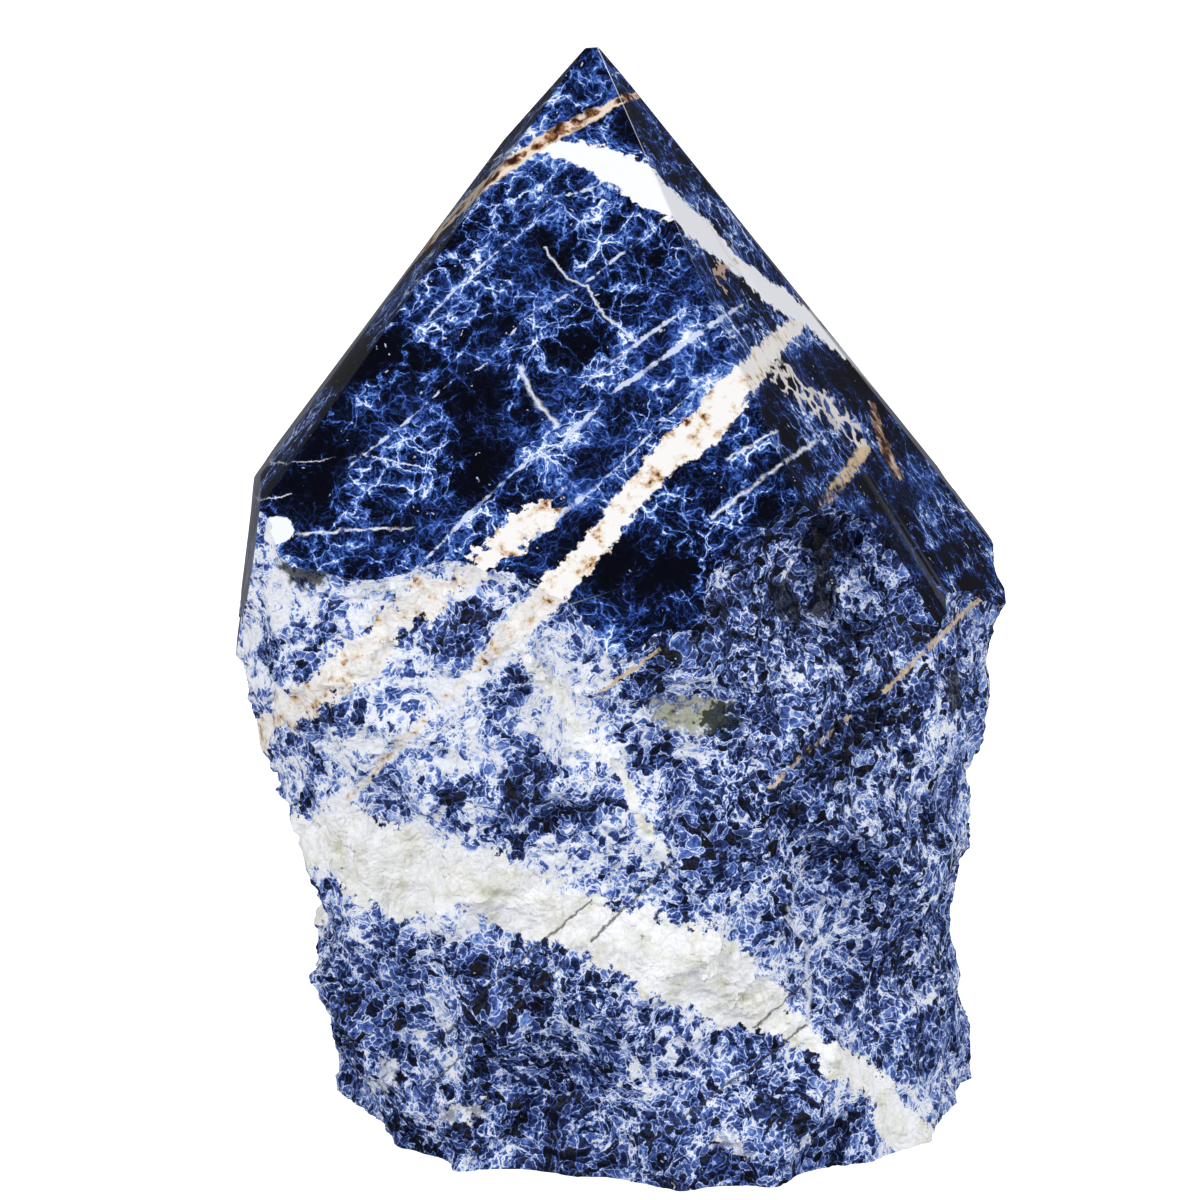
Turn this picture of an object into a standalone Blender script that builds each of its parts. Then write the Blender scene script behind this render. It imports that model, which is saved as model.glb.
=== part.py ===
"""A sodalite point: a broken lump of rock, sawn flat below and ground to a polished tip above."""

import math

import bmesh
import bpy
from mathutils import Vector, noise

MM = 0.001

# The tip, and the ground faces that meet there. Each face is (azimuth, slope, shift): the way it
# looks from above, counted from the front towards the right, its slope from level, and how far it
# lies outside the tip.
TIP = Vector((-2.45, 0.0, 98.6)) * MM
TIP_FACES = {
    "front": (-1.0, 56.1, 0.0),
    "right_front": (72.2, 56.4, 0.0),
    "right": (91.0, 52.3, 0.1 * MM),
    "back_right": (155.8, 55.5, 0.0),
    "back_left": (-150.0, 56.0, 0.0),
    "left_upper": (-84.0, 50.5, 0.5 * MM),
    "left": (-93.4, 53.6, 1.45 * MM),
}
# Steep faces ground on the shoulders: (azimuth, slope, reach from the axis, height of that reach).
SHOULDER_FACES = {
    "left_shoulder": (-86.0, 82.0, 34.0 * MM, 55.0 * MM),
    "right_shoulder": (85.0, 87.0, 34.8 * MM, 50.0 * MM),
    "back_shoulder": (168.0, 80.0, 31.2 * MM, 52.0 * MM),
}
EDGE_SOFTENING = 0.45 * MM
SHARP_ENOUGH_TO_SOFTEN = 8.0
BLOCK_SIZE = 0.30
MERGE_DISTANCE = 0.02 * MM

# The broken sides. Each break faces one azimuth, counted from the right towards the back, and has
# its reach from the axis at six heights, 12 mm apart, from the base up.
LEVEL_STEP = 12.0 * MM
BREAKS = {
    0: (31.4, 30.8, 31.3, 32.4, 34.2, 35.2),
    42: (30.5, 31.0, 32.6, 33.0, 34.0, 34.2),
    78: (27.6, 29.2, 30.2, 30.9, 31.2, 31.2),
    116: (26.4, 28.4, 30.2, 30.8, 31.3, 31.4),
    150: (25.6, 27.8, 29.6, 32.4, 33.6, 34.2),
    180: (26.4, 27.5, 28.1, 32.8, 34.0, 34.8),
    203: (25.0, 29.0, 30.3, 34.5, 37.4, 38.6),
    238: (25.0, 28.4, 30.6, 33.8, 37.2, 38.6),
    255: (24.4, 26.6, 28.8, 31.0, 33.6, 34.6),
    270: (27.2, 27.6, 28.2, 28.6, 28.9, 28.2),
    300: (28.6, 28.4, 28.8, 29.6, 30.4, 30.0),
    315: (32.6, 31.2, 30.8, 30.6, 29.6, 29.4),
    335: (31.8, 31.0, 31.3, 31.8, 31.0, 29.2),
}
CREST_SHARPNESS = 26.0

# The net of points over the broken sides. Each point is shaken out of line by a share of the step
# between points, so that the net leaves no rows in the rock. The seed fixes how the points are
# shaken and the chips are tilted, so that every build gives this same stone.
WALL_COLUMNS = 108
WALL_STEP = 1.9 * MM
WALL_BOTTOM = -2.5 * MM
WALL_TOP = 68.0 * MM
LID_ABOVE_TIP = 5.0 * MM
SHAKE = 0.40
SHAKE_GRAIN = 57.0
ROCK_SEED = 17

# Single hollows, and lumps where the depth is negative, placed by azimuth and height:
# (azimuth, height, half width, half height, depth), sizes in mm.
HOLLOWS = {
    "recess_under_right_face": (320.0, 54.5, 9.0, 5.2, 4.0),
    "cleft_in_recess": (311.0, 54.5, 1.7, 5.5, 3.2),
    "cleft_mouth": (301.5, 51.5, 2.4, 3.0, 1.6),
    "pocket_in_right_side": (337.0, 44.0, 1.6, 2.6, 1.8),
    "waist_of_right_side": (0.0, 16.5, 22.0, 4.2, 2.0),
    "bulge_under_front_face": (278.0, 51.0, 5.2, 5.0, -2.9),
    "bump_on_left_side": (186.0, 15.6, 2.4, 1.6, -0.9),
    "scoop_low_front": (256.0, 9.0, 4.0, 3.0, 1.3),
    "scoop_beside_it": (284.0, 7.5, 5.0, 3.6, 1.1),
    "scoop_mid_right": (312.0, 26.0, 6.0, 8.0, 1.2),
    "scoop_mid_left": (236.0, 36.0, 7.0, 7.0, 0.8),
    "hollow_in_back": (98.0, 30.0, 11.0, 12.0, 2.2),
    "hollow_low_back": (58.0, 10.0, 8.0, 6.0, 1.6),
    "ledge_in_back": (140.0, 44.0, 8.0, 4.0, 1.8),
}

# Chips broken off all over, in two sizes: (size across, depth, how much taller than wide, tilt),
# with sizes in mm. The tilt is the slope that a chip's floor may have, up or down to either side.
CHIPS = {
    "large": (13.0, 1.6, 1.25, 0.26),
    "middle": (6.4, 0.8, 1.15, 0.30),
}
# Chips meet in a ridge at about this share of their size from the middle. MEAN_CHIP is the share
# of its full depth that a chip has on average, so that chips dig in and stand out alike.
RIDGE_DISTANCE = 0.62
HIGHEST_RIDGE = 1.3
MEAN_CHIP = 0.36
TILT_GRAIN = 5.3

POLISHED_COLOUR = (0.012, 0.030, 0.125)
BROKEN_COLOUR = (0.085, 0.140, 0.400)


def clear_scene():
    for item in list(bpy.data.objects):
        bpy.data.objects.remove(item, do_unlink=True)


def new_collection(name):
    collection = bpy.data.collections.new(name)
    bpy.context.scene.collection.children.link(collection)
    return collection


def stone_material(name, colour, roughness):
    material = bpy.data.materials.new(name)
    material.use_nodes = True
    shader = material.node_tree.nodes["Principled BSDF"]
    shader.inputs["Base Color"].default_value = (*colour, 1.0)
    shader.inputs["Roughness"].default_value = roughness
    shader.inputs["Metallic"].default_value = 0.0
    material.diffuse_color = (*colour, 1.0)
    return material


def face_normal(azimuth, slope):
    """Outward direction of a ground face that looks towards azimuth and leans back by its slope."""
    turn = math.radians(azimuth)
    lean = math.radians(slope)
    return Vector((math.sin(turn) * math.sin(lean), -math.cos(turn) * math.sin(lean), math.cos(lean)))


def cut_away(mesh, point, normal):
    """Remove what lies outside a plane and close the cut."""
    every_part = mesh.verts[:] + mesh.edges[:] + mesh.faces[:]
    cut = bmesh.ops.bisect_plane(mesh, geom=every_part, plane_co=point, plane_no=normal, clear_outer=True)
    rim = [part for part in cut["geom_cut"] if isinstance(part, bmesh.types.BMEdge)]
    if rim:
        bmesh.ops.contextual_create(mesh, geom=rim)


def ground_block(material, collection):
    """The block that grinding and sawing leave: every flat face of the finished point."""
    mesh = bmesh.new()
    bmesh.ops.create_cube(mesh, size=BLOCK_SIZE)
    bmesh.ops.translate(mesh, verts=mesh.verts, vec=(0.0, 0.0, BLOCK_SIZE / 2))
    for azimuth, slope, shift in TIP_FACES.values():
        normal = face_normal(azimuth, slope)
        cut_away(mesh, TIP + normal * shift, normal)
    for azimuth, slope, reach, height in SHOULDER_FACES.values():
        normal = face_normal(azimuth, slope)
        outward = Vector((normal.x, normal.y, 0.0)).normalized()
        cut_away(mesh, outward * reach + Vector((0.0, 0.0, height)), normal)
    bmesh.ops.remove_doubles(mesh, verts=mesh.verts, dist=MERGE_DISTANCE)
    bmesh.ops.recalc_face_normals(mesh, faces=mesh.faces)
    data = bpy.data.meshes.new("ground_block")
    mesh.to_mesh(data)
    mesh.free()
    data.materials.append(material)
    block = bpy.data.objects.new("ground_block", data)
    collection.objects.link(block)
    block.hide_render = True
    block.display_type = "WIRE"
    softening = block.modifiers.new("soft_edges", "BEVEL")
    softening.width = EDGE_SOFTENING
    softening.segments = 2
    softening.limit_method = "ANGLE"
    softening.angle_limit = math.radians(SHARP_ENOUGH_TO_SOFTEN)
    return block


def between_levels(values, height):
    """A smooth value at a height, from values given at even levels."""
    place = min(max(height / LEVEL_STEP, 0.0), len(values) - 1.0)
    lower = min(int(place), len(values) - 2)
    part = place - lower
    before = values[max(lower - 1, 0)]
    start = values[lower]
    end = values[lower + 1]
    after = values[min(lower + 2, len(values) - 1)]
    bend = before - 2.5 * start + 2.0 * end - 0.5 * after
    twist = 1.5 * (start - end) + 0.5 * (after - before)
    return start + part * (0.5 * (end - before) + part * (bend + part * twist))


def broken_reach(azimuth, height):
    """How far the unchipped rock reaches from its axis: the breaks, met in slightly worn crests."""
    total = 0.0
    for facing, reaches in BREAKS.items():
        towards = math.cos(azimuth - math.radians(facing))
        if towards > 0.0:
            total += (towards / between_levels(reaches, height)) ** CREST_SHARPNESS
    reach = total ** (-1.0 / CREST_SHARPNESS)
    return reach * MM


def hollow_depth(azimuth, height, reach):
    """The named hollows and lumps, at one place on the side."""
    depth = 0.0
    for facing, middle, half_width, half_height, deepest in HOLLOWS.values():
        turn = math.remainder(azimuth - math.radians(facing), math.tau)
        across = turn * reach / MM / half_width
        along = (height / MM - middle) / half_height
        spread = across * across + along * along
        depth += deepest * math.exp(-spread * spread / (1.0 + spread))
    return depth * MM


def chip_depth(place):
    """Chips with dished, tilted floors that meet in sharp ridges and small ledges."""
    depth = 0.0
    for size, deepest, tallness, tilt in CHIPS.values():
        cell = Vector((place.x, place.y, place.z / tallness)) / (size * MM)
        distances, centres = noise.voronoi(cell)
        dish = 1.0 - min(distances[0] / RIDGE_DISTANCE, HIGHEST_RIDGE) ** 2 - MEAN_CHIP
        slope = noise.noise_vector(centres[0] * TILT_GRAIN) * tilt
        depth += deepest * dish + size * slope.dot(cell - centres[0])
    return depth * MM


def side_point(vertex, ring):
    """Where a point of the net lies on the broken side, in place of its spot on a plain drum."""
    shake = noise.noise_vector(vertex.co * SHAKE_GRAIN) * SHAKE
    azimuth = math.atan2(vertex.co.y, vertex.co.x) + shake.x * math.tau / WALL_COLUMNS
    height = WALL_BOTTOM + (ring + shake.z) * WALL_STEP
    reach = broken_reach(azimuth, height)
    outward = Vector((math.cos(azimuth), math.sin(azimuth), 0.0))
    place = outward * reach + Vector((0.0, 0.0, height))
    reach -= hollow_depth(azimuth, height, reach) + chip_depth(place)
    return outward * reach + Vector((0.0, 0.0, height))


def rough_rock(material, collection):
    """The lump as it was broken from the ledge, before any grinding."""
    rings = round((WALL_TOP - WALL_BOTTOM) / WALL_STEP)
    mesh = bmesh.new()
    bmesh.ops.create_cone(mesh, cap_ends=True, segments=WALL_COLUMNS, radius1=1.0, radius2=1.0, depth=1.0)
    uprights = [edge for edge in mesh.edges if edge.verts[0].co.z * edge.verts[1].co.z < 0.0]
    bmesh.ops.subdivide_edges(mesh, edges=uprights, cuts=rings - 1, use_grid_fill=True)
    lid = [vertex for vertex in mesh.verts if vertex.co.z > 0.5 - 0.5 / rings]
    for vertex in mesh.verts:
        vertex.co = side_point(vertex, (vertex.co.z + 0.5) * rings)
    for vertex in lid:
        vertex.co.z = TIP.z + LID_ABOVE_TIP
    bmesh.ops.triangulate(mesh, faces=mesh.faces)
    bmesh.ops.recalc_face_normals(mesh, faces=mesh.faces)
    data = bpy.data.meshes.new("sodalite_point")
    mesh.to_mesh(data)
    mesh.free()
    data.materials.append(material)
    rock = bpy.data.objects.new("sodalite_point", data)
    collection.objects.link(rock)
    return rock


def stand_on_origin(rock, block):
    """Bring the middle of the finished stone's footprint over the origin."""
    finished = rock.evaluated_get(bpy.context.evaluated_depsgraph_get())
    corners = [Vector(corner) for corner in finished.bound_box]
    middle = sum(corners, Vector()) / len(corners)
    for item in (rock, block):
        item.location -= Vector((middle.x, middle.y, 0.0))


def build():
    clear_scene()
    noise.seed_set(ROCK_SEED)
    stone = new_collection("sodalite_point")
    cutters = new_collection("cutters")
    polished = stone_material("polished_sodalite", POLISHED_COLOUR, 0.12)
    broken = stone_material("broken_sodalite", BROKEN_COLOUR, 0.42)
    block = ground_block(polished, cutters)
    rock = rough_rock(broken, stone)
    grinding = rock.modifiers.new("grinding", "BOOLEAN")
    grinding.operation = "INTERSECT"
    grinding.solver = "EXACT"
    grinding.material_mode = "TRANSFER"
    grinding.object = block
    stand_on_origin(rock, block)


build()
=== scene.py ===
"""A sodalite point, broken below and polished above, on a pale floor in soft studio light."""

import bmesh
import bpy
import numpy as np
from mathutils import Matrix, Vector
from math import cos, radians, sin


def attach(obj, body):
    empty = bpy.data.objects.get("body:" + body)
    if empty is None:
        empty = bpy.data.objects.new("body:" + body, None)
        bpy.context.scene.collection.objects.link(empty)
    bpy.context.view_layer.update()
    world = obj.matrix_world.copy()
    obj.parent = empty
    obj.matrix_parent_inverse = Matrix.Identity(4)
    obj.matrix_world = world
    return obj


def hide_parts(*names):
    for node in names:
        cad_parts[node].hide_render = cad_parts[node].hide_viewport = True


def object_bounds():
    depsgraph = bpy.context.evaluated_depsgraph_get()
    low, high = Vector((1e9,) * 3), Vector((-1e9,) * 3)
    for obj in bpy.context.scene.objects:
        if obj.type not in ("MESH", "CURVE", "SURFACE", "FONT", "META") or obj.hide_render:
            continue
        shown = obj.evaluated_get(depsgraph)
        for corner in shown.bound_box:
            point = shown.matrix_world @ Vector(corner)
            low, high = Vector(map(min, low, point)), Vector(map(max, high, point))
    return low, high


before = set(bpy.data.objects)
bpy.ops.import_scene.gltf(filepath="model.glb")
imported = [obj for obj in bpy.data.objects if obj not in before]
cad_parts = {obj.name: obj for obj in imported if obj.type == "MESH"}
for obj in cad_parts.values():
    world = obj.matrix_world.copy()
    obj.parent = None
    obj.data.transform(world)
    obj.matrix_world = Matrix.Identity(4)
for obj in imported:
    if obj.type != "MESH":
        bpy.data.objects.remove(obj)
cad_low, cad_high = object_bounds()
MM = 0.001

# The view. The stone is seen from a little above, through a long lens, as in a catalogue
# photograph. The aim is a point near the stone's middle line.
CAMERA_HEIGHT_ANGLE = radians(13.0)
CAMERA_DISTANCE = 460.0 * MM
AIM = Vector((-2.3, 0.0, 47.3)) * MM

camera_data = bpy.data.cameras.new("camera")
camera_data.lens = 150.0
camera_data.sensor_width = 36.0
camera_data.clip_start = 10.0 * MM
camera_data.clip_end = 20.0
camera = bpy.data.objects.new("camera", camera_data)
bpy.context.scene.collection.objects.link(camera)
backwards = Vector((0.0, -cos(CAMERA_HEIGHT_ANGLE), sin(CAMERA_HEIGHT_ANGLE)))
camera.location = AIM + backwards * CAMERA_DISTANCE
camera.rotation_euler = (radians(90.0) - CAMERA_HEIGHT_ANGLE, 0.0, 0.0)
bpy.context.scene.camera = camera

# The studio: a white floor that runs out into a white room, and soft boxes. The room is dim where
# the polished faces would mirror it, as it is with black cards round a glossy stone.
bpy.context.scene.view_settings.view_transform = "Standard"
ROOM_SEEN, ROOM_LIGHT, ROOM_MIRRORED = 1.0, 0.32, 0.05

world = bpy.data.worlds.new("studio")
world.use_nodes = True
world.cycles.sampling_method = "NONE"
bpy.context.scene.world = world
room = world.node_tree
background = room.nodes["Background"]
background.inputs["Color"].default_value = (1.0, 1.0, 1.0, 1.0)
path = room.nodes.new("ShaderNodeLightPath")
mirrored = room.nodes.new("ShaderNodeMix")
mirrored.inputs["A"].default_value = ROOM_LIGHT
mirrored.inputs["B"].default_value = ROOM_MIRRORED
room.links.new(path.outputs["Is Glossy Ray"], mirrored.inputs["Factor"])
seen = room.nodes.new("ShaderNodeMix")
seen.inputs["B"].default_value = ROOM_SEEN
room.links.new(path.outputs["Is Camera Ray"], seen.inputs["Factor"])
room.links.new(mirrored.outputs["Result"], seen.inputs["A"])
room.links.new(seen.outputs["Result"], background.inputs["Strength"])

# Azimuth from the front towards the right, elevation, distance and width in metres, watts.
SOFT_BOXES = {
    "key": (-42.0, 25.0, 0.70, 0.36, 2.5),
    "fill": (58.0, 26.0, 0.80, 0.40, 3.2),
    "rim": (150.0, 30.0, 0.80, 0.30, 1.0),
}
for name, (azimuth, elevation, distance, size, power) in SOFT_BOXES.items():
    light = bpy.data.lights.new(name, "AREA")
    light.size = size
    light.energy = power
    lamp = bpy.data.objects.new(name, light)
    bpy.context.scene.collection.objects.link(lamp)
    turn, rise = radians(azimuth), radians(elevation)
    away = Vector((sin(turn) * cos(rise), -cos(turn) * cos(rise), sin(rise)))
    lamp.location = AIM + away * distance
    lamp.rotation_euler = away.to_track_quat("Z", "Y").to_euler()

FLOOR_HALF = 3.0
FLOOR_GLOW = 0.85
PAPER_WHITE, PAPER_MIRRORED = (0.85, 0.85, 0.86, 1.0), (0.22, 0.22, 0.23, 1.0)
corners = [(-FLOOR_HALF, -FLOOR_HALF, 0.0), (FLOOR_HALF, -FLOOR_HALF, 0.0),
           (FLOOR_HALF, FLOOR_HALF, 0.0), (-FLOOR_HALF, FLOOR_HALF, 0.0)]
floor_mesh = bpy.data.meshes.new("floor")
floor_mesh.from_pydata(corners, [], [(0, 1, 2, 3)])
floor = bpy.data.objects.new("floor", floor_mesh)
bpy.context.scene.collection.objects.link(floor)
white_paper = bpy.data.materials.new("white_paper")
white_paper.use_nodes = True
white_paper.cycles.emission_sampling = "NONE"
paper = white_paper.node_tree.nodes["Principled BSDF"]
paper.inputs["Roughness"].default_value = 0.9
paper.inputs["Specular IOR Level"].default_value = 0.1
paper.inputs["Emission Color"].default_value = (1.0, 1.0, 1.0, 1.0)
path = white_paper.node_tree.nodes.new("ShaderNodeLightPath")
glow = white_paper.node_tree.nodes.new("ShaderNodeMath")
glow.operation = "MULTIPLY"
glow.inputs[1].default_value = FLOOR_GLOW
white_paper.node_tree.links.new(path.outputs["Is Camera Ray"], glow.inputs[0])
white_paper.node_tree.links.new(glow.outputs[0], paper.inputs["Emission Strength"])
dimmed = white_paper.node_tree.nodes.new("ShaderNodeMix")
dimmed.data_type = "RGBA"
dimmed.inputs[6].default_value = PAPER_WHITE
dimmed.inputs[7].default_value = PAPER_MIRRORED
white_paper.node_tree.links.new(path.outputs["Is Glossy Ray"], dimmed.inputs[0])
white_paper.node_tree.links.new(dimmed.outputs[2], paper.inputs["Base Color"])
floor_mesh.materials.append(white_paper)

# The stone as broken. Sodalite has no clean cleavage: it breaks in small dished and slanting
# chips, upright and narrow on its right side, all over the sides of the CAD solid.
GRAIN = 0.42 * MM
NEAR_GROUND = 0.30 * MM
FAR_FROM_GROUND = 0.95 * MM
LIFT = 0.8 * MM
SAME_WAY = 0.99999
LEAST_FACE = 40.0 * MM * MM

merged = bmesh.new()
merged.from_mesh(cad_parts["sodalite_point"].data)
bmesh.ops.remove_doubles(merged, verts=merged.verts, dist=0.001 * MM)
ground_faces = []
for face in merged.faces:
    same = [entry for entry in ground_faces if entry[0].dot(face.normal) > SAME_WAY]
    if same:
        same[0][2] += face.calc_area()
    else:
        ground_faces.append([face.normal.copy(), face.normal.dot(face.verts[0].co), face.calc_area()])
ground_faces = [(normal, reach) for normal, reach, area in ground_faces if area > LEAST_FACE]
coarse = bpy.data.meshes.new("coarse_stone")
merged.to_mesh(coarse)
merged.free()


def shown(name, mesh):
    """An object for a mesh, in the scene."""
    item = bpy.data.objects.new(name, mesh)
    bpy.context.scene.collection.objects.link(item)
    return item


def plain(item, name):
    """The object's mesh as its modifiers leave it."""
    evaluated = item.evaluated_get(bpy.context.evaluated_depsgraph_get())
    mesh = bpy.data.meshes.new_from_object(evaluated)
    mesh.name = name
    return mesh


def discard(item):
    bpy.data.objects.remove(item, do_unlink=True)


lump = shown("lump", coarse)
net = lump.modifiers.new("even_net", "REMESH")
net.mode = "VOXEL"
net.voxel_size = GRAIN
even = plain(lump, "even_stone")
discard(lump)

# Where the lump lies on a ground face it is raised past that face, for the grinding to cut it again.
places = np.empty(len(even.vertices) * 3)
even.vertices.foreach_get("co", places)
places = places.reshape(-1, 3)
lift = np.zeros_like(places)
nearest = np.full(len(places), -1.0)
for normal, reach in ground_faces:
    outside = places @ np.array(normal) - reach
    near = np.clip((outside + FAR_FROM_GROUND) / (FAR_FROM_GROUND - NEAR_GROUND), 0.0, 1.0)
    lift += near[:, None] * np.array(normal)
    nearest = np.maximum(nearest, near)
lift *= (LIFT * nearest / np.maximum(np.linalg.norm(lift, axis=1), 1e-9))[:, None]
even.attributes.new("lift", "FLOAT_VECTOR", "POINT").data.foreach_set("vector", lift.ravel())
even.attributes.new("broken", "FLOAT", "POINT").data.foreach_set("value", 1.0 - nearest)


class Tree:
    """A node tree being written: each call adds a node, sets or links its inputs, and gives it back."""

    def __init__(self, tree):
        self.tree = tree

    def add(self, kind, *values, **settings):
        node = self.tree.nodes.new(kind)
        named = settings.pop("named", {})
        for setting, value in settings.items():
            setattr(node, setting, value)
        sockets = [socket for socket in node.inputs if socket.enabled]
        for socket, value in list(zip(sockets, values)) + [(node.inputs[key], named[key]) for key in named]:
            if value is None:
                continue
            if isinstance(value, bpy.types.NodeSocket):
                self.tree.links.new(value, socket)
            elif isinstance(value, bpy.types.Node):
                self.tree.links.new(value.outputs[0], socket)
            else:
                socket.default_value = value
        return node

    def maths(self, operation, *values, clamp=False):
        return self.add("ShaderNodeMath", *values, operation=operation, use_clamp=clamp).outputs[0]

    def vector(self, operation, *values):
        node = self.add("ShaderNodeVectorMath", *values, operation=operation)
        return node.outputs["Value" if operation in ("DOT_PRODUCT", "DISTANCE", "LENGTH") else "Vector"]

    def scaled(self, vector, factor):
        return self.add("ShaderNodeVectorMath", operation="SCALE", named={0: vector, 3: factor}).outputs[0]


def new_group(name, kind, inputs, outputs):
    """An empty node group with named sockets: {name: (socket type, value)} in, {name: type} out."""
    group = bpy.data.node_groups.new(name, kind)
    for label, (socket_type, value) in inputs.items():
        socket = group.interface.new_socket(label, in_out="INPUT", socket_type=socket_type)
        if value is not None:
            socket.default_value = value
    for label, socket_type in outputs.items():
        group.interface.new_socket(label, in_out="OUTPUT", socket_type=socket_type)
    return group


FLOAT, VECTOR, COLOUR = "NodeSocketFloat", "NodeSocketVector", "NodeSocketColor"

# One size of chips: each is a shallow dish that meets the next in a ridge, and slants its own way.
chips = new_group("chips", "GeometryNodeTree",
                  {"Place": (VECTOR, None), "Size": (FLOAT, 3.0), "Dish": (FLOAT, 0.1),
                   "Slant": (FLOAT, 0.2)},
                  {"Height": FLOAT})
write = Tree(chips)
start = write.add("NodeGroupInput").outputs
size = write.add("ShaderNodeCombineXYZ", start["Size"], start["Size"], start["Size"]).outputs[0]
cell = write.vector("DIVIDE", start["Place"], size)
voronoi = write.add("ShaderNodeTexVoronoi", voronoi_dimensions="3D", feature="F1",
                    named={"Vector": cell, "Scale": 1.0, "Randomness": 1.0})
way = write.vector("SUBTRACT", voronoi.outputs["Color"], (0.5, 0.5, 0.5))
offset = write.vector("SUBTRACT", cell, voronoi.outputs["Position"])
slant = write.maths("MULTIPLY", write.vector("DOT_PRODUCT", way, offset), start["Slant"])
square = write.vector("DOT_PRODUCT", offset, offset)
rim = write.maths("MINIMUM", write.maths("MULTIPLY_ADD", square, 2.2, -0.8), 0.6)
height = write.maths("MULTIPLY_ADD", rim, start["Dish"], slant)
height = write.maths("MULTIPLY", height, start["Size"])
write.add("NodeGroupOutput", height)

# The whole broken surface: three sizes of chips over slow swells.
relief = new_group("broken_surface", "GeometryNodeTree",
                   {"Geometry": ("NodeSocketGeometry", None), "Chip Size": (FLOAT, 5.2),
                    "Dish": (FLOAT, 0.075), "Slant": (FLOAT, 0.22), "Swell": (FLOAT, 0.9),
                    "Seed": (FLOAT, 3.0), "Stone": ("NodeSocketMaterial", None)},
                   {"Geometry": "NodeSocketGeometry"})
write = Tree(relief)
start = write.add("NodeGroupInput").outputs
place = write.scaled(write.add("GeometryNodeInputPosition").outputs[0], 1.0 / MM)
across = write.add("ShaderNodeSeparateXYZ", place)
right_side = write.add("ShaderNodeMapRange", across.outputs[0], 17.0, 25.0,
                       interpolation_type="SMOOTHSTEP").outputs[0]
squash = write.maths("MULTIPLY_ADD", right_side, -0.62, 1.0)
upright = write.add("ShaderNodeCombineXYZ", across.outputs[0], across.outputs[1],
                    write.maths("MULTIPLY", across.outputs[2], squash)).outputs[0]
shift = write.add("ShaderNodeCombineXYZ", start["Seed"], 0.0, 0.0).outputs[0]
upright = write.vector("ADD", upright, shift)
bend = write.add("ShaderNodeTexNoise",
                 named={"Vector": upright, "Scale": 0.32, "Detail": 3.0}).outputs["Color"]
bent = write.vector("ADD", upright, write.scaled(write.vector("SUBTRACT", bend, (0.5, 0.5, 0.5)), 3.4))
total = None
for share in (1.0, 0.44, 0.20):
    one = write.add("GeometryNodeGroup", node_tree=chips)
    write.tree.links.new(bent, one.inputs["Place"])
    write.tree.links.new(write.maths("MULTIPLY", start["Chip Size"], share), one.inputs["Size"])
    write.tree.links.new(start["Slant"], one.inputs["Slant"])
    write.tree.links.new(start["Dish"], one.inputs["Dish"])
    total = one.outputs[0] if total is None else write.maths("ADD", total, one.outputs[0])
swell = write.add("ShaderNodeTexNoise", named={"Vector": upright, "Scale": 0.12, "Detail": 4.0}).outputs[0]
swell = write.maths("MULTIPLY", write.maths("SUBTRACT", swell, 0.5), start["Swell"])
height = write.maths("MULTIPLY", write.maths("ADD", total, swell), MM)
broken = write.add("GeometryNodeInputNamedAttribute", "broken", data_type="FLOAT").outputs[0]
lifted = write.add("GeometryNodeInputNamedAttribute", "lift", data_type="FLOAT_VECTOR").outputs[0]
depth = write.maths("MULTIPLY", height, write.maths("MULTIPLY_ADD", broken, 0.75, 0.25))
normal = write.add("GeometryNodeInputNormal").outputs[0]
offset = write.vector("ADD", write.scaled(normal, depth), lifted)
moved = write.add("GeometryNodeSetPosition", named={"Geometry": start["Geometry"], "Offset": offset})
real = write.add("GeometryNodeRealizeInstances", moved)
stone = write.add("GeometryNodeSetMaterial", real, None, start["Stone"])
write.add("NodeGroupOutput", stone)

broken_sodalite = bpy.data.materials.new("broken_sodalite")
polished_sodalite = bpy.data.materials.new("polished_sodalite")
sawn_sodalite = bpy.data.materials.new("sawn_sodalite")

lump = shown("lump", even)
modifier = lump.modifiers.new("broken_surface", "NODES")
modifier.node_group = relief
for item in relief.interface.items_tree:
    if item.in_out == "INPUT" and item.name == "Stone":
        modifier[item.identifier] = broken_sodalite
broken_mesh = plain(lump, "broken_stone")
discard(lump)

# The stone as ground. The base is sawn flat and the top is ground into flat faces on a lap, then
# polished. Each edge between two faces keeps a fine polished bevel.
EDGE_BEVEL = 0.42 * MM
LEVEL = -0.99
RIDGE_ANGLE = radians(42.0)
block = bmesh.new()
bmesh.ops.create_cube(block, size=1.0)
for corner in block.verts:
    corner.co = Vector((high if side > 0.0 else low) for side, low, high in zip(corner.co, cad_low, cad_high))
for normal, reach in ground_faces:
    if normal.z > -0.5:
        whole = block.verts[:] + block.edges[:] + block.faces[:]
        cut = bmesh.ops.bisect_plane(block, geom=whole, plane_co=normal * reach, plane_no=normal,
                                     clear_outer=True)
        rim = [part for part in cut["geom_cut"] if isinstance(part, bmesh.types.BMEdge)]
        bmesh.ops.contextual_create(block, geom=rim)
bmesh.ops.remove_doubles(block, verts=block.verts, dist=0.05 * MM)
bmesh.ops.recalc_face_normals(block, faces=block.faces)
block_mesh = bpy.data.meshes.new("ground_block")
block.to_mesh(block_mesh)
block.free()
block_mesh.materials.append(polished_sodalite)
cutter = shown("ground_block", block_mesh)
bevel = cutter.modifiers.new("edges", "BEVEL")
bevel.width = EDGE_BEVEL
bevel.segments = 4
bevel.limit_method = "ANGLE"
bevel.angle_limit = radians(8.0)

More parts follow.
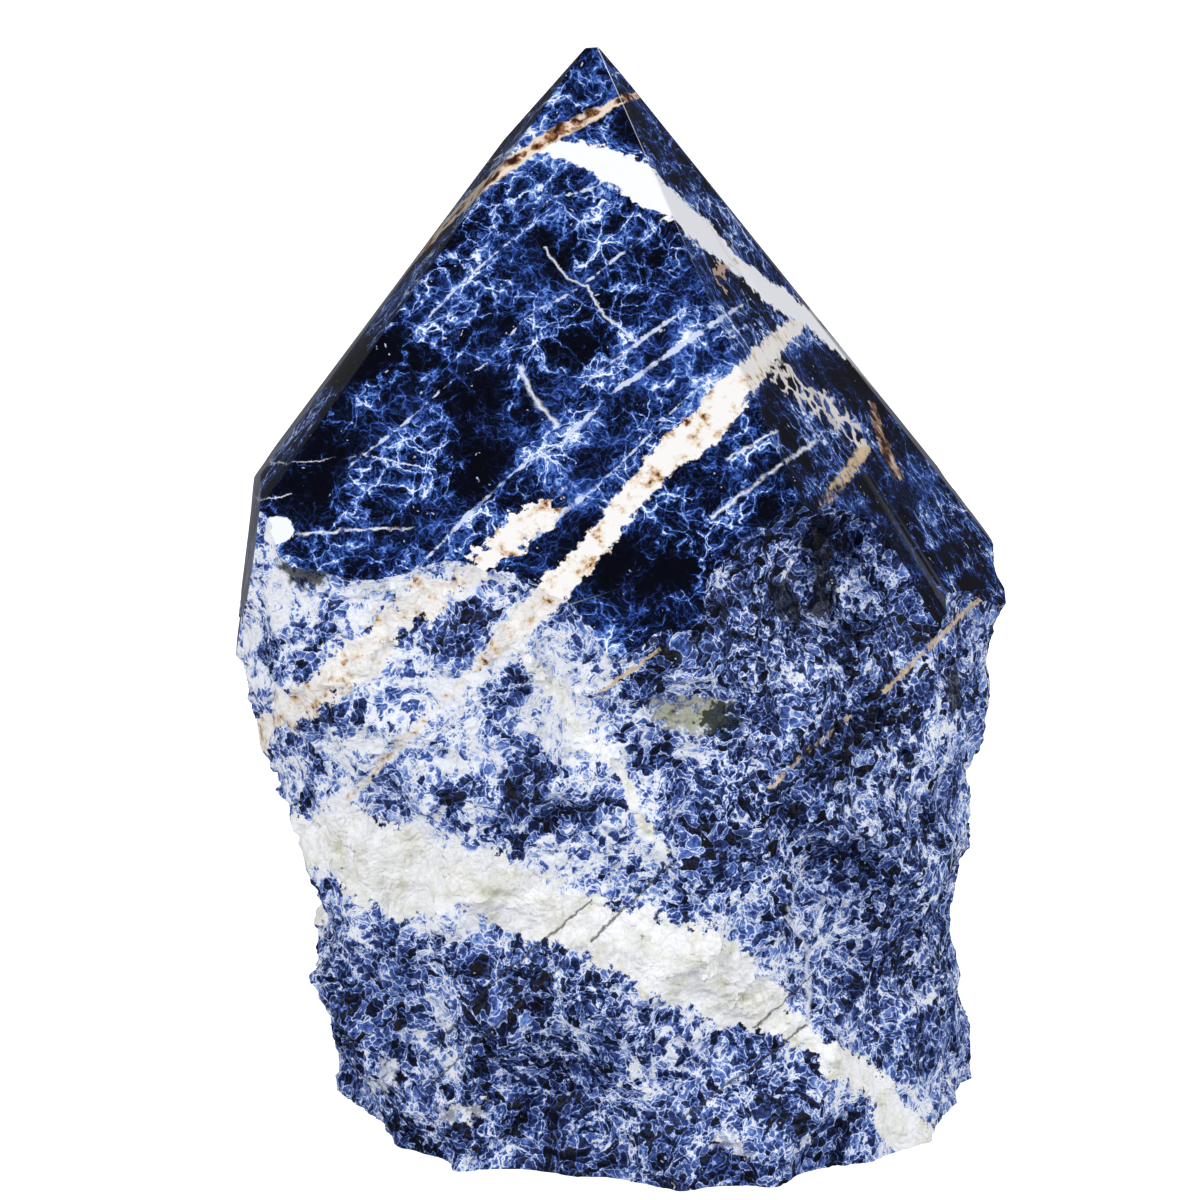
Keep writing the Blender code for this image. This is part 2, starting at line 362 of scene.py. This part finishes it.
stone = shown("sodalite_stone", broken_mesh)
grinding = stone.modifiers.new("grinding", "BOOLEAN")
grinding.operation = "INTERSECT"
grinding.solver = "MANIFOLD"
grinding.material_mode = "TRANSFER"
grinding.object = cutter
finished = plain(stone, "sodalite_stone")
discard(stone)
discard(cutter)
finished.materials.append(sawn_sodalite)
BROKEN, POLISHED, SAWN = range(3)
for face in finished.polygons:
    if face.normal.z < LEVEL:
        face.material_index = SAWN
    face.use_smooth = face.material_index == BROKEN
finished.set_sharp_from_angle(angle=RIDGE_ANGLE)
stone = shown("sodalite_stone", finished)
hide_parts("sodalite_point")
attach(stone, "root")

# The rock itself. Navy sodalite in a web of paler blue, cut through by two sets of sheets that
# were once cracks: one set rises to the right and one falls. They carry white, cream and brown.
RISING_ALONG, RISING_ACROSS = (0.6997, 0.0021, 0.7144), (-0.7003, 0.2001, 0.6853)
FALLING_ALONG, FALLING_ACROSS = (0.8806, 0.0006, -0.4738), (0.4349, 0.3959, 0.8088)


def colour(red, green, blue):
    """A colour as a screen shows it, in the linear values that a shader takes."""
    return tuple(((part / 255.0 + 0.055) / 1.055) ** 2.4 for part in (red, green, blue)) + (1.0,)


def curve(write, value, points):
    """A smooth value along a sheet, from {mm along: mm}."""
    node = write.add("ShaderNodeFloatCurve")
    write.tree.links.new(value, node.inputs["Value"])
    mapping = node.mapping
    mapping.use_clip = False
    mapping.extend = "HORIZONTAL"
    line = mapping.curves[0]
    while len(line.points) < len(points):
        line.points.new(0.0, 0.0)
    for point, place in zip(line.points, sorted(points.items())):
        point.location = place
        point.handle_type = "AUTO_CLAMPED"
    mapping.update()
    return node.outputs[0]


def ramp(write, value, stops, interpolation="LINEAR"):
    node = write.add("ShaderNodeValToRGB", value)
    node.color_ramp.interpolation = interpolation
    while len(node.color_ramp.elements) < len(stops):
        node.color_ramp.elements.new(0.5)
    for element, (place, shade) in zip(node.color_ramp.elements, sorted(stops.items())):
        element.position = place
        element.color = shade
    return node.outputs["Color"]


def blend(write, factor, below, above):
    node = write.add("ShaderNodeMix", data_type="RGBA", clamp_factor=True)
    for socket, value in ((0, factor), (6, below), (7, above)):
        if isinstance(value, bpy.types.NodeSocket):
            write.tree.links.new(value, node.inputs[socket])
        else:
            node.inputs[socket].default_value = value
    return node.outputs[2]


def between(write, value, low, high, start=0.0, end=1.0):
    """start below low, end above high, and a smooth step between them."""
    return write.add("ShaderNodeMapRange", value, low, high, start, end,
                     interpolation_type="SMOOTHSTEP").outputs[0]


def grain(write, place, size, detail, roughness=0.55, twist=0.0, kind="Fac"):
    """Noise with lumps of about size mm."""
    node = write.add("ShaderNodeTexNoise", named={"Vector": place, "Scale": 1.0 / size, "Detail": detail,
                                                  "Roughness": roughness, "Distortion": twist})
    return node.outputs[kind]


def cell_edges(write, place, size):
    """Distance to the border of cells about size mm across, as a share of that size."""
    return write.add("ShaderNodeTexVoronoi", feature="DISTANCE_TO_EDGE",
                     named={"Vector": place, "Scale": 1.0 / size}).outputs["Distance"]


# A sheet with ragged sides. Inside is how far a place lies within it, in mm.
sheet = new_group("sheet", "ShaderNodeTree",
                  {"Across": (FLOAT, 0.0), "Middle": (FLOAT, 0.0), "Half Width": (FLOAT, 1.0),
                   "Ragged": (FLOAT, 0.0), "Softness": (FLOAT, 0.1), "Fringe": (FLOAT, 2.5)},
                  {"Body": FLOAT, "Halo": FLOAT, "Inside": FLOAT})
write = Tree(sheet)
start = write.add("NodeGroupInput").outputs
away = write.maths("ABSOLUTE", write.maths("SUBTRACT", start["Across"], start["Middle"]))
inside = write.maths("ADD", write.maths("SUBTRACT", start["Half Width"], away), start["Ragged"])
there = write.maths("GREATER_THAN", start["Half Width"], -0.12)
body = write.add("ShaderNodeMapRange", inside, write.maths("MULTIPLY", start["Softness"], -1.0),
                 start["Softness"], interpolation_type="SMOOTHSTEP").outputs[0]
halo = write.add("ShaderNodeMapRange", inside, write.maths("MULTIPLY", start["Fringe"], -1.0), 0.4).outputs[0]
write.add("NodeGroupOutput", write.maths("MULTIPLY", body, there), write.maths("MULTIPLY", halo, there),
          inside)

# A hair-thin healed crack, straight from one end to the other in its sheet.
crack = new_group("crack", "ShaderNodeTree",
                  {"Sheet": (VECTOR, None), "From": (VECTOR, None), "To": (VECTOR, None),
                   "Half Width": (FLOAT, 0.1)},
                  {"Body": FLOAT})
write = Tree(crack)
start = write.add("NodeGroupInput").outputs
run = write.vector("SUBTRACT", start["To"], start["From"])
step = write.vector("SUBTRACT", start["Sheet"], start["From"])
share = write.maths("DIVIDE", write.vector("DOT_PRODUCT", step, run),
                    write.vector("DOT_PRODUCT", run, run), clamp=True)
away = write.vector("DISTANCE", step, write.scaled(run, share))
write.add("NodeGroupOutput", write.add("ShaderNodeMapRange", away, start["Half Width"], 0.0,
                                       interpolation_type="SMOOTHSTEP").outputs[0])


def sheet_body(write, across, along, middle, half_width, ragged, softness=0.1, fringe=2.5):
    node = write.add("ShaderNodeGroup", node_tree=sheet)
    for name, value in (("Across", across), ("Middle", curve(write, along, middle)), ("Ragged", ragged),
                        ("Half Width", curve(write, along, half_width))):
        write.tree.links.new(value, node.inputs[name])
    node.inputs["Softness"].default_value = softness
    node.inputs["Fringe"].default_value = fringe
    return node.outputs


def cracks(write, sheet_place, runs):
    """Cracks along several runs of places in a sheet, each with its own half width in mm."""
    total = None
    for half_width, *run in runs:
        for near, far in zip(run, run[1:]):
            node = write.add("ShaderNodeGroup", node_tree=crack)
            write.tree.links.new(sheet_place, node.inputs["Sheet"])
            node.inputs["From"].default_value = (*near, 0.0)[:3]
            node.inputs["To"].default_value = (*far, 0.0)[:3]
            node.inputs["Half Width"].default_value = half_width
            total = node.outputs[0] if total is None else write.maths("MAXIMUM", total, node.outputs[0])
    return total


def marked(write, shade, mark, finish, filling):
    """The shade with a mark that only one finish of the rock shows. Where finish is 0 it costs nothing."""
    return blend(write, write.maths("MULTIPLY", mark, finish), shade, filling)


rock = new_group("sodalite_rock", "ShaderNodeTree",
                 {"Place": (VECTOR, None), "Broken": (FLOAT, 0.0)},
                 {"Colour": COLOUR, "Height": FLOAT})
write = Tree(rock)
start = write.add("NodeGroupInput").outputs
place, broken = start["Place"], start["Broken"]
polished = write.maths("SUBTRACT", 1.0, broken)
parts = write.add("ShaderNodeSeparateXYZ", place).outputs
stir_slow = write.vector("SUBTRACT", grain(write, place, 4.2, 3.0, kind="Color"), (0.5, 0.5, 0.5))
stir_quick = write.vector("SUBTRACT", grain(write, place, 0.9, 3.0, 0.6, kind="Color"), (0.5, 0.5, 0.5))
bent = write.vector("ADD", place, write.scaled(stir_slow, 4.4))
curled = write.vector("ADD", bent, write.scaled(stir_quick, 1.0))
tone = write.maths("SUBTRACT", grain(write, place, 11.0, 3.0), 0.5)
fine = write.maths("MULTIPLY", write.maths("SUBTRACT", grain(write, place, 0.8, 4.0, 0.7), 0.5), 6.0)
lumpy = write.maths("MULTIPLY", write.maths("SUBTRACT", grain(write, place, 3.2, 2.0), 0.5), 6.0)

# The two sets of sheets: how far a place is along and across each.
rising_along = write.vector("DOT_PRODUCT", place, RISING_ALONG)
rising_across = write.vector("DOT_PRODUCT", place, RISING_ACROSS)
falling_along = write.vector("DOT_PRODUCT", place, FALLING_ALONG)
falling_across = write.vector("DOT_PRODUCT", place, FALLING_ACROSS)
rising = write.add("ShaderNodeCombineXYZ", rising_along, rising_across, 0.0).outputs[0]
falling = write.add("ShaderNodeCombineXYZ", falling_along, falling_across, 0.0).outputs[0]
streaked = write.vector("ADD", write.vector("MULTIPLY", rising, (0.38, 1.0, 0.0)), write.scaled(place, 0.12))
streaks = grain(write, streaked, 4.0, 4.0, 0.6, 0.3)
ragged = write.maths("MULTIPLY_ADD", fine, 0.60, write.maths("MULTIPLY", lumpy, 0.7))
less_ragged = write.maths("MULTIPLY_ADD", fine, 0.42, write.maths("MULTIPLY", lumpy, 0.22))
hardly_ragged = write.maths("MULTIPLY_ADD", fine, 0.16, write.maths("MULTIPLY", lumpy, 0.08))

top_white = sheet_body(write, falling_across, falling_along,
                       {-51: 65.8, -46.8: 67.9, -44.8: 68.2, -40.7: 67.9, -36.7: 67.4, -32.6: 67.2,
                        -28.6: 67.0, -22.5: 67.3, -19.0: 67.9},
                       {-51: 0.1, -48.8: 0.6, -46.0: 1.2, -42.8: 1.5, -40.7: 1.9, -36.7: 1.5, -33.0: 1.9,
                        -28.6: 1.1, -25.0: 1.5, -20.0: 1.2, -8.0: 0.3}, less_ragged, fringe=1.8)
band = sheet_body(write, falling_across, falling_along,
                  {-42: 4.4, -36: 5.1, -32: 4.8, -28: 5.3, -24: 6.7, -16: 7.2, -8.4: 7.8, -0.4: 8.2,
                   7.5: 7.9, 15.5: 7.5, 20: 5.6},
                  {-44: 0.6, -36: 2.8, -32: 3.3, -28: 3.2, -24: 2.7, -16: 2.3, -12: 2.6, -6: 3.4,
                   -0.4: 3.0, 3.5: 1.9, 7.0: 1.0, 9.0: 0.5, 11.5: 1.7, 15.5: 1.2, 20: 2.3, 30: 0.6},
                  ragged, fringe=3.6)
slip = sheet_body(write, falling_across, falling_along,
                  {-33: 25.0, -26.8: 22.8, -24.1: 20.7, -18.8: 19.7, -15.0: 16.8, -12.0: 15.6},
                  {-34: -0.3, -32.6: 0.45, -24: 0.7, -18.8: 0.5, -13: 0.25, -11: -0.3}, less_ragged,
                  fringe=2.2)
brown_top = sheet_body(write, rising_across, rising_along,
                       {49: 67.3, 55.4: 66.6, 60.5: 65.8, 63.7: 64.8, 66: 64.1, 68: 63.7},
                       {40: 0.2, 49: 0.5, 60: 0.6, 66: 0.4, 68: 0.25, 76: 0.1}, hardly_ragged)
cream = sheet_body(write, rising_across, rising_along,
                   {29.8: 36.2, 39.5: 36.4, 44: 37.2, 49.2: 37.7, 52: 37.4, 57.6: 37.9, 62.9: 39.1,
                    65: 38.9},
                   {24: 0.2, 29: 1.1, 34: 1.3, 40: 1.2, 48: 1.05, 51.5: 1.7, 57.5: 1.45, 60: 1.0,
                    63: 0.8, 66: 0.5, 72: 0.3}, write.maths("MULTIPLY", less_ragged, 0.75), fringe=1.6)
smear = sheet_body(write, rising_across, rising_along,
                   {6.3: 46.3, 14.9: 44.3, 18.9: 43.8, 26.2: 43.5, 30.7: 42.1, 42.3: 42.0},
                   {0: 0.6, 6: 1.2, 15: 1.6, 19: 1.4, 26: 1.4, 29: 0.5, 33: 1.0, 36: 1.4, 39.5: 1.0,
                    43: -0.6},
                   ragged, fringe=3.0)

# Long thin threads of white in the rising sheets, one beside the other up the front face.
thread_run = {
    "lowest": ({38: 40.6, 45.6: 40.1, 53.3: 40.3, 57.9: 39.2},
               {35: -0.2, 38: 0.30, 42: 0.20, 45: 0.02, 56: 0.02, 61: -0.2}),
    "bright": ({31: 45.9, 35.6: 46.1, 40: 45.9, 43.8: 45.1, 48.5: 45.2, 52.5: 44.6, 58: 43.7, 60.8: 43.3},
               {22: -0.2, 29: 0.04, 33: 0.18, 40: 0.08, 48: 0.14, 55: 0.20, 60: 0.16, 64: -0.2}),
    "short": ({49: 47.4, 54: 46.8, 58.4: 46.1}, {45: -0.2, 49: 0.0, 54: 0.13, 57: 0.08, 60: -0.2}),
    "middle": ({29.6: 56.4, 34.8: 55.9, 40.4: 55.7, 43.3: 54.8, 48: 55.3, 52.5: 54.2, 58.8: 53.6, 62: 53.4},
               {27: -0.2, 30: 0.05, 34: 0.02, 40: -0.05, 47: 0.02, 52: 0.10, 56: 0.0, 59: 0.08, 62: 0.0,
                68: -0.2}),
    "upper": ({41.7: 61.3, 46.3: 61.6, 52.6: 61.4, 56.3: 61.7, 58.5: 60.5, 60.3: 59.6},
              {37: -0.2, 42: -0.03, 50: 0.05, 53: 0.0, 57: 0.04, 60: 0.10, 63: -0.2}),
}
threads = [sheet_body(write, rising_across, rising_along, middle, half_width, hardly_ragged, 0.07, 1.5)
           for middle, half_width in thread_run.values()]

# Dark cells in nets of three sizes, with feathered blue borders and fine bright lines along them.
feather = write.maths("MULTIPLY", fine, 0.15)
large_edge = cell_edges(write, bent, 6.6)
web = between(write, write.maths("ADD", large_edge, feather), -0.05, 0.28, 1.0, 0.0)
large_line = between(write, large_edge, 0.003, 0.016, 1.0, 0.0)
middle_edge = cell_edges(write, curled, 2.3)
net = between(write, write.maths("ADD", middle_edge, write.maths("MULTIPLY", feather, 0.7)),
              0.0, 0.24, 1.0, 0.0)
middle_line = between(write, middle_edge, 0.010, 0.045, 1.0, 0.0)
small_edge = cell_edges(write, curled, 0.95)
fine_line_and_glint = between(write, small_edge, 0.02, 0.10, 1.0, 0.0)
flake = write.add("ShaderNodeTexVoronoi", feature="F1", named={"Vector": curled, "Scale": 1.0 / 0.95})
flake_level = write.maths("SUBTRACT",
                          write.add("ShaderNodeSeparateColor", flake.outputs["Color"]).outputs[0], 0.5)
fibre = write.maths("ABSOLUTE",
                    write.maths("MULTIPLY_ADD", grain(write, curled, 1.3, 4.0, 0.62, 0.9), 2.0, -1.0))
fibre = between(write, fibre, 0.0, 0.16, 1.0, 0.0)
lively = between(write, streaks, 0.40, 0.62)

# The rock is bruised pale where it broke, in streaks: most on the left above the white band, and
# along the outer right edge.
left = between(write, write.maths("MULTIPLY_ADD", tone, 30.0, parts[0]), -9.0, 12.0, 1.0, 0.0)
above = between(write, write.maths("MULTIPLY_ADD", tone, -14.0, parts[2]), 20.0, 28.0)
pale = write.maths("MULTIPLY", left, write.maths("MULTIPLY_ADD", above, 0.8, 0.2))
pale = write.maths("MULTIPLY", pale,
                   write.maths("MULTIPLY_ADD", between(write, streaks, 0.36, 0.58), 0.30, 0.02))
pale = write.maths("MAXIMUM", pale, between(write, parts[0], 24.0, 28.5, 0.0, 0.15))
pale = write.maths("MULTIPLY", pale, broken)

value = write.maths("MULTIPLY_ADD", tone, 0.9, 0.24)
value = write.maths("MULTIPLY_ADD", web, 0.15, value)
value = write.maths("MULTIPLY_ADD", net, write.maths("MULTIPLY_ADD", lively, 0.15, 0.03), value)
value = write.maths("MULTIPLY_ADD", fibre, write.maths("MULTIPLY_ADD", lively, 0.16, 0.07), value)
value = write.maths("MULTIPLY_ADD", fine, write.maths("MULTIPLY_ADD", broken, 0.17, 0.05), value)
value = write.maths("MULTIPLY_ADD", large_line, write.maths("MULTIPLY_ADD", lively, 0.20, 0.10), value)
value = write.maths("MULTIPLY_ADD", middle_line, write.maths("MULTIPLY_ADD", lively, 0.18, 0.07), value)
# Fine bright lines along the smallest cells. On the broken finish, where these cells are the chip edges, they
# are painted brighter: painted glints.
value = write.maths("MULTIPLY_ADD", fine_line_and_glint, write.maths("MULTIPLY_ADD", broken, 0.18, 0.13), value)
value = write.maths("MULTIPLY_ADD", flake_level, write.maths("MULTIPLY_ADD", broken, 0.42, 0.06), value)
value = write.maths("MULTIPLY_ADD", broken, 0.045, value)
value = write.maths("ADD", pale, value)
halo_strength = write.maths("MULTIPLY_ADD", broken, 0.10, 0.10)
polished_halo = write.maths("MULTIPLY", halo_strength, polished)
for outputs in (band, smear, cream, slip):
    value = write.maths("MULTIPLY_ADD", outputs["Halo"], halo_strength, value)
for outputs in [top_white] + threads:
    value = write.maths("ADD", write.maths("MULTIPLY", outputs["Halo"], polished_halo), value)
polished_blue = ramp(write, value, {
    0.26: colour(3, 5, 17), 0.38: colour(6, 12, 31), 0.46: colour(14, 24, 54), 0.52: colour(25, 42, 90),
    0.58: colour(36, 62, 130), 0.66: colour(56, 90, 172), 0.76: colour(96, 134, 210),
    0.88: colour(164, 188, 230), 1.00: colour(238, 243, 251)})
broken_blue = ramp(write, value, {
    0.26: colour(3, 6, 22), 0.40: colour(11, 20, 50), 0.51: colour(26, 42, 92), 0.60: colour(46, 68, 134),
    0.68: colour(68, 96, 174), 0.76: colour(100, 132, 206), 0.85: colour(148, 173, 228),
    0.94: colour(198, 212, 243), 1.00: colour(240, 243, 251)})
shade = blend(write, broken, polished_blue, broken_blue)

# Tiny specks of white in the dark, and fine lines that have healed white.
chosen = write.maths("GREATER_THAN",
                     write.add("ShaderNodeSeparateColor", flake.outputs["Color"]).outputs[1], 0.80)
dot = write.maths("MULTIPLY", between(write, flake.outputs["Distance"], 0.08, 0.17, 1.0, 0.0), chosen)
shade = blend(write, write.maths("MULTIPLY", dot, 0.8), shade, colour(200, 212, 240))
rising_wavy = write.vector("ADD", rising, write.vector("MULTIPLY", stir_quick, (0.9, 0.9, 0.0)))
falling_wavy = write.vector("ADD", falling, write.vector("MULTIPLY", stir_quick, (0.9, 0.9, 0.0)))
broken_up = between(write, write.maths("MULTIPLY_ADD", fine, 0.14, streaks), 0.32, 0.56)
white_lines = cracks(write, rising_wavy, [
    (0.30, (57.9, 30.0), (53.4, 30.6), (48.5, 31.2)), (0.09, (21.0, 64.0), (30.8, 56.2), (34.2, 51.0)),
    (0.18, (22.2, 55.3), (26.1, 52.0), (29.8, 48.5)), (0.09, (17.0, 62.9), (24.1, 58.2)),
    (0.20, (56.9, 32.8), (52.5, 34.0))])
line_white = colour(226, 232, 248)
shade = marked(write, shade, write.maths("MULTIPLY", white_lines, broken_up), polished, line_white)
white_falls = cracks(write, falling_wavy, [
    (0.20, (-45.1, 58.5), (-42.2, 56.7), (-40.3, 56.8), (-38.1, 55.0), (-34.3, 53.9)),
    (0.34, (-42.5, 47.4), (-40.4, 45.4), (-37.4, 43.8)), (0.16, (2.3, 51.5), (9.0, 45.0)),
    (0.34, (-34.4, 22.3), (-28.8, 20.5), (-25.2, 20.1))])
low_fall = cracks(write, falling_wavy, [(0.40, (0.4, 16.5), (4.7, 14.9), (6.8, 11.4), (7.6, 9.1))])
faded = between(write, fine, -1.6, 0.0, 0.4, 0.9)
shade = marked(write, shade, write.maths("MULTIPLY", white_falls, faded), polished, line_white)
shade = marked(write, shade, write.maths("MULTIPLY", low_fall, faded), broken, line_white)
thread_total = threads[0]["Body"]
for outputs in threads[1:]:
    thread_total = write.maths("MAXIMUM", thread_total, outputs["Body"])
thread_total = write.maths("MULTIPLY", thread_total,
                           between(write, write.maths("ADD", fine, lumpy), -1.2, 0.4, 0.25, 0.95))
shade = marked(write, shade, thread_total, polished, colour(206, 217, 244))

# White, cream and brown fillings.
clouds = grain(write, place, 2.6, 5.0, 0.65)
stain = grain(write, place, 1.3, 4.0, 0.65)
white = ramp(write, clouds,
             {0.44: colour(250, 251, 254), 0.58: colour(238, 239, 233), 0.70: colour(205, 206, 184)})
creamy = ramp(write, write.maths("MULTIPLY_ADD", clouds, 0.5, write.maths("MULTIPLY", stain, 0.55)),
              {0.54: colour(243, 241, 240), 0.60: colour(233, 222, 208), 0.66: colour(200, 162, 122),
               0.71: colour(82, 46, 28)})
for outputs, filling in ((smear, creamy), (slip, white), (cream, creamy), (band, white)):
    shade = blend(write, outputs["Body"], shade, filling)
shade = marked(write, shade, top_white["Body"], polished, colour(246, 248, 254))
core = between(write, write.maths("MULTIPLY_ADD", lumpy, 0.45, brown_top["Inside"]), 0.15, 0.50)
brown = blend(write, core, colour(236, 218, 200),
              ramp(write, stain, {0.42: colour(52, 28, 20), 0.52: colour(150, 100, 66),
                                  0.60: colour(232, 214, 196)}))
shade = marked(write, shade, brown_top["Body"], polished, brown)

# Marks of their own: a white crystal at the left, a net of cream lines and a brown lens on the right
# face, a green-black spot beside a patch of yellow-grey and lost white patches near the base. Painted
# shade darkens a few hollows of the broken rock.
crystal = write.vector("LENGTH", write.vector("SUBTRACT", place, (-30.1, -25.9, 59.4)))
crystal = between(write, write.maths("MULTIPLY_ADD", fine, 0.12, crystal), 1.25, 1.40, 1.0, 0.0)
shade = blend(write, crystal, shade, colour(238, 243, 250))
wavy = write.vector("ADD", write.vector("ADD", place, write.scaled(stir_quick, 3.4)),
                    write.scaled(stir_slow, 5.0))
near_net = cracks(write, wavy, [(3.0, (13.8, -10.8, 70.5), (21.5, -3.0, 63.8))])
cream_net = write.maths("MULTIPLY", between(write, middle_edge, 0.07, 0.15, 1.0, 0.0),
                        between(write, near_net, 0.1, 0.3))
shade = marked(write, shade, cream_net, polished, colour(226, 220, 216))
lens = cracks(write, wavy, [(1.9, (23.4, 5.0, 64.9), (25.2, -0.6, 59.8))])
shade = marked(write, shade, between(write, lens, 0.20, 0.34), polished,
               ramp(write, stain, {0.38: colour(52, 40, 34), 0.5: colour(150, 112, 88),
                                   0.62: colour(216, 206, 196)}))
stained = between(write, stain, 0.40, 0.56, 0.35, 1.0)
grey_patch = cracks(write, wavy, [(2.6, (3.6, -28.8, 43.8), (6.6, -28.7, 43.5))])
grey_patch = write.maths("MULTIPLY", between(write, grey_patch, 0.20, 0.55), stained)
shade = marked(write, shade, grey_patch, broken, colour(176, 178, 158))
green_spot = cracks(write, wavy, [(2.2, (7.0, -28.5, 43.2), (8.8, -28.4, 43.2))])
green_spot = between(write, green_spot, 0.25, 0.50, 0.0, 0.9)
shade = marked(write, shade, green_spot, broken, colour(22, 34, 36))
lost_white = cracks(write, wavy, [
    (1.5, (-24.2, -13.2, 6.0), (-20.8, -19.9, 8.2)), (1.3, (-16.5, -21.9, 5.3), (-13.6, -22.7, 5.5)),
    (1.7, (-29.4, 1.0, 15.2), (-28.6, -2.0, 15.6)), (1.0, (8.0, -26.8, 3.6), (16.0, -23.6, 2.4))])
lost_white = write.maths("MULTIPLY", between(write, lost_white, 0.10, 0.35), stained)
shade = marked(write, shade, lost_white, broken, colour(236, 240, 248))
# Painted shade: near-black patches laid into four hollows of the broken rock, under the right-hand faces, on
# the right side and at the left, where shade falls in them.
painted_hollow_shade = cracks(write, wavy, [
    (2.6, (17.2, -16.8, 58.0), (17.2, -17.0, 51.2)), (2.8, (13.2, -22.4, 52.4), (15.0, -21.6, 51.6)),
    (2.0, (30.2, -9.4, 42.1), (29.8, -11.0, 40.8)), (2.6, (-29.0, -27.6, 56.4), (-22.0, -26.9, 58.0))])
painted_hollow_shade = between(write, painted_hollow_shade, 0.10, 0.55, 0.0, 0.88)
shade = marked(write, shade, painted_hollow_shade, broken, colour(4, 8, 20))
tan_breaks = cracks(write, wavy, [(1.5, (9.6, -2.0, 79.6), (8.0, -9.0, 78.0))])
tan_breaks = between(write, tan_breaks, 0.35, 0.60, 0.0, 0.8)
shade = marked(write, shade, tan_breaks, polished, colour(206, 176, 156))

# Tan and dark cracks: the dark ones cross the white band.
low_tan = cracks(write, rising_wavy, [
    (0.30, (43.4, 10.6), (38.2, 11.0), (35.1, 11.0)), (0.25, (37.8, 26.1), (31.4, 27.1)),
    (0.34, (58.6, 9.6), (53.0, 9.9), (47.0, 9.9))])
high_tan = cracks(write, rising_wavy, [(0.70, (59.4, 26.6), (55.6, 25.4))])
for tan, finish in ((low_tan, broken), (high_tan, polished)):
    tan = write.maths("MULTIPLY", between(write, tan, 0.0, 0.5), broken_up)
    shade = marked(write, shade, tan, finish, colour(216, 192, 160))
dark = cracks(write, rising_wavy, [
    (0.22, (24.5, 12.3), (14.2, 12.4)), (0.20, (16.9, 14.9), (4.6, 15.8), (-5.8, 15.2)),
    (0.18, (11.3, 12.7), (-7.8, 13.2)), (0.22, (21.0, -6.4), (4.5, -4.0)),
    (0.18, (24.2, -3.7), (17.8, -3.2))])
shade = marked(write, shade, write.maths("MULTIPLY", dark, 0.85), broken, colour(46, 44, 50))

# Each flake of the broken rock stands at its own level and falls away from its middle.
flakes = write.maths("MULTIPLY_ADD", flake.outputs["Distance"], -0.9, write.maths("MULTIPLY", fine, 0.10))
write.add("NodeGroupOutput", shade, write.maths("MULTIPLY_ADD", flake_level, 0.5, flakes))


def rock_material(material, broken, roughness, shine, bump):
    """One finish of the rock: how broken it looks, how rough and shiny, and how deep its fine chips are."""
    material.use_nodes = True
    write = Tree(material.node_tree)
    shader = material.node_tree.nodes["Principled BSDF"]
    place = write.scaled(write.add("ShaderNodeTexCoord").outputs["Object"], 1.0 / MM)
    body = write.add("ShaderNodeGroup", node_tree=rock)
    write.tree.links.new(place, body.inputs["Place"])
    body.inputs["Broken"].default_value = broken
    write.tree.links.new(body.outputs["Colour"], shader.inputs["Base Color"])
    shader.inputs["Roughness"].default_value = roughness
    shader.inputs["Specular IOR Level"].default_value = shine
    if bump:
        raised = write.add("ShaderNodeBump",
                           named={"Strength": 1.0, "Distance": bump, "Height": body.outputs["Height"]})
        write.tree.links.new(raised.outputs["Normal"], shader.inputs["Normal"])


rock_material(broken_sodalite, 1.0, 0.42, 0.22, 0.30 * MM)
rock_material(polished_sodalite, 0.0, 0.10, 0.35, 0.0)
rock_material(sawn_sodalite, 0.0, 0.34, 0.25, 0.0)
